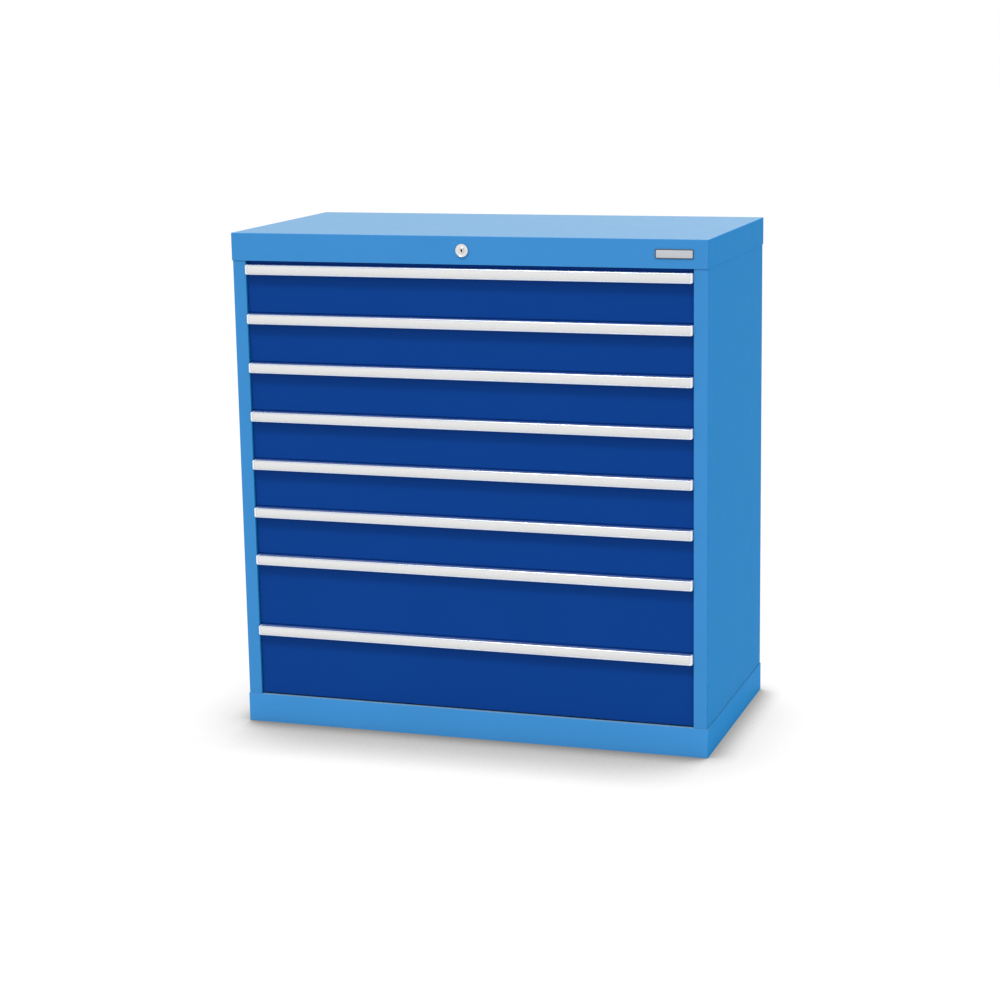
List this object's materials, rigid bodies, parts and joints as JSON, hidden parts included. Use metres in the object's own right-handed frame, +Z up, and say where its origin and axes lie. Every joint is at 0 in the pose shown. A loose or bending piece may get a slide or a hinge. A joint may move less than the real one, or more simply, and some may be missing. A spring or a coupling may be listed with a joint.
{
  "type": "drawer cabinet",
  "caption": "Free-standing sheet-steel workshop drawer cabinet on a plinth, with full-width drawers, aluminium handle strips and one central lock.",
  "frame": {"origin": "bottom centre of the whole cabinet, on the floor, midway between the handles' faces and the rear of the case", "axes": "+X to the right of someone facing the drawers, +Y towards the back, +Z up"},
  "size_m": [0.985, 0.505, 1.022],
  "materials": {
    "light_blue_powder_coat": "satin powder coat, light blue",
    "dark_blue_powder_coat": "satin powder coat, gentian blue",
    "grey_powder_coat": "satin powder coat, light grey",
    "anodised_aluminium": "satin anodised",
    "white_plastic": "moulded, satin",
    "bright_zinc": "bright zinc plate",
    "black_rubber": "matt",
    "nickel_plate": "satin nickel plate",
    "label_plate": "blank satin plate with a dark frame"
  },
  "bodies": {
    "root": {"back_panel": "light_blue_powder_coat", "base_plinth": "light_blue_powder_coat", "bottom_plate": "light_blue_powder_coat", "case_screws": "bright_zinc", "drawer_stops": "black_rubber", "left_cabinet_rails": "bright_zinc", "left_side_panel": "light_blue_powder_coat", "left_uprights": "bright_zinc", "lock_bar_guides": "bright_zinc", "lock_cylinder": "nickel_plate", "lock_nut": "nickel_plate", "name_plate": "label_plate", "right_cabinet_rails": "bright_zinc", "right_side_panel": "light_blue_powder_coat", "right_uprights": "bright_zinc", "shaft_hanger": "bright_zinc", "top_cover": "light_blue_powder_coat"},
    "drawer_1": {"drawer_1_end_caps": "white_plastic", "drawer_1_front": "dark_blue_powder_coat", "drawer_1_handle": "anodised_aluminium", "drawer_1_tray": "grey_powder_coat"},
    "drawer_2": {"drawer_2_end_caps": "white_plastic", "drawer_2_front": "dark_blue_powder_coat", "drawer_2_handle": "anodised_aluminium", "drawer_2_tray": "grey_powder_coat"},
    "drawer_3": {"drawer_3_end_caps": "white_plastic", "drawer_3_front": "dark_blue_powder_coat", "drawer_3_handle": "anodised_aluminium", "drawer_3_tray": "grey_powder_coat"},
    "drawer_4": {"drawer_4_end_caps": "white_plastic", "drawer_4_front": "dark_blue_powder_coat", "drawer_4_handle": "anodised_aluminium", "drawer_4_tray": "grey_powder_coat"},
    "drawer_5": {"drawer_5_end_caps": "white_plastic", "drawer_5_front": "dark_blue_powder_coat", "drawer_5_handle": "anodised_aluminium", "drawer_5_tray": "grey_powder_coat"},
    "drawer_6": {"drawer_6_end_caps": "white_plastic", "drawer_6_front": "dark_blue_powder_coat", "drawer_6_handle": "anodised_aluminium", "drawer_6_tray": "grey_powder_coat"},
    "drawer_7": {"drawer_7_end_caps": "white_plastic", "drawer_7_front": "dark_blue_powder_coat", "drawer_7_handle": "anodised_aluminium", "drawer_7_tray": "grey_powder_coat"},
    "drawer_8": {"drawer_8_end_caps": "white_plastic", "drawer_8_front": "dark_blue_powder_coat", "drawer_8_handle": "anodised_aluminium", "drawer_8_tray": "grey_powder_coat"},
    "lock_bar": {"lock_bar": "bright_zinc"},
    "lock_core": {"lock_plug": "nickel_plate", "lock_shaft": "bright_zinc"},
    "slide_1": {"slide_1_carriages": "bright_zinc"},
    "slide_2": {"slide_2_carriages": "bright_zinc"},
    "slide_3": {"slide_3_carriages": "bright_zinc"},
    "slide_4": {"slide_4_carriages": "bright_zinc"},
    "slide_5": {"slide_5_carriages": "bright_zinc"},
    "slide_6": {"slide_6_carriages": "bright_zinc"},
    "slide_7": {"slide_7_carriages": "bright_zinc"},
    "slide_8": {"slide_8_carriages": "bright_zinc"}
  },
  "joints": [
    {"name": "drawer_1_slide", "type": "slide", "parent": "root", "child": "drawer_1", "axis": [0, -1, 0], "range_m": [0, 0.4]},
    {"name": "carriage_1_slide", "type": "slide", "parent": "root", "child": "slide_1", "axis": [0, -1, 0], "range_m": [0, 0.2]},
    {"name": "drawer_2_slide", "type": "slide", "parent": "root", "child": "drawer_2", "axis": [0, -1, 0], "range_m": [0, 0.4]},
    {"name": "carriage_2_slide", "type": "slide", "parent": "root", "child": "slide_2", "axis": [0, -1, 0], "range_m": [0, 0.2]},
    {"name": "drawer_3_slide", "type": "slide", "parent": "root", "child": "drawer_3", "axis": [0, -1, 0], "range_m": [0, 0.4]},
    {"name": "carriage_3_slide", "type": "slide", "parent": "root", "child": "slide_3", "axis": [0, -1, 0], "range_m": [0, 0.2]},
    {"name": "drawer_4_slide", "type": "slide", "parent": "root", "child": "drawer_4", "axis": [0, -1, 0], "range_m": [0, 0.4]},
    {"name": "carriage_4_slide", "type": "slide", "parent": "root", "child": "slide_4", "axis": [0, -1, 0], "range_m": [0, 0.2]},
    {"name": "drawer_5_slide", "type": "slide", "parent": "root", "child": "drawer_5", "axis": [0, -1, 0], "range_m": [0, 0.4]},
    {"name": "carriage_5_slide", "type": "slide", "parent": "root", "child": "slide_5", "axis": [0, -1, 0], "range_m": [0, 0.2]},
    {"name": "drawer_6_slide", "type": "slide", "parent": "root", "child": "drawer_6", "axis": [0, -1, 0], "range_m": [0, 0.4]},
    {"name": "carriage_6_slide", "type": "slide", "parent": "root", "child": "slide_6", "axis": [0, -1, 0], "range_m": [0, 0.2]},
    {"name": "drawer_7_slide", "type": "slide", "parent": "root", "child": "drawer_7", "axis": [0, -1, 0], "range_m": [0, 0.4]},
    {"name": "carriage_7_slide", "type": "slide", "parent": "root", "child": "slide_7", "axis": [0, -1, 0], "range_m": [0, 0.2]},
    {"name": "drawer_8_slide", "type": "slide", "parent": "root", "child": "drawer_8", "axis": [0, -1, 0], "range_m": [0, 0.4]},
    {"name": "carriage_8_slide", "type": "slide", "parent": "root", "child": "slide_8", "axis": [0, -1, 0], "range_m": [0, 0.2]},
    {"name": "lock_turn", "type": "hinge", "parent": "root", "child": "lock_core", "pos_m": [0, 0, 0.994], "axis": [0, 1, 0], "range_deg": [0, 90]},
    {"name": "lock_bar_lift", "type": "slide", "parent": "root", "child": "lock_bar", "axis": [0, 0, 1], "range_m": [0, 0.01414]}
  ],
  "couplings": [
    {"joint": "carriage_1_slide", "follows": "drawer_1_slide", "ratio": 0.5},
    {"joint": "carriage_2_slide", "follows": "drawer_2_slide", "ratio": 0.5},
    {"joint": "carriage_3_slide", "follows": "drawer_3_slide", "ratio": 0.5},
    {"joint": "carriage_4_slide", "follows": "drawer_4_slide", "ratio": 0.5},
    {"joint": "carriage_5_slide", "follows": "drawer_5_slide", "ratio": 0.5},
    {"joint": "carriage_6_slide", "follows": "drawer_6_slide", "ratio": 0.5},
    {"joint": "carriage_7_slide", "follows": "drawer_7_slide", "ratio": 0.5},
    {"joint": "carriage_8_slide", "follows": "drawer_8_slide", "ratio": 0.5},
    {"joint": "lock_turn", "follows": "lock_bar_lift", "rad_per_m": 111.07}
  ]
}
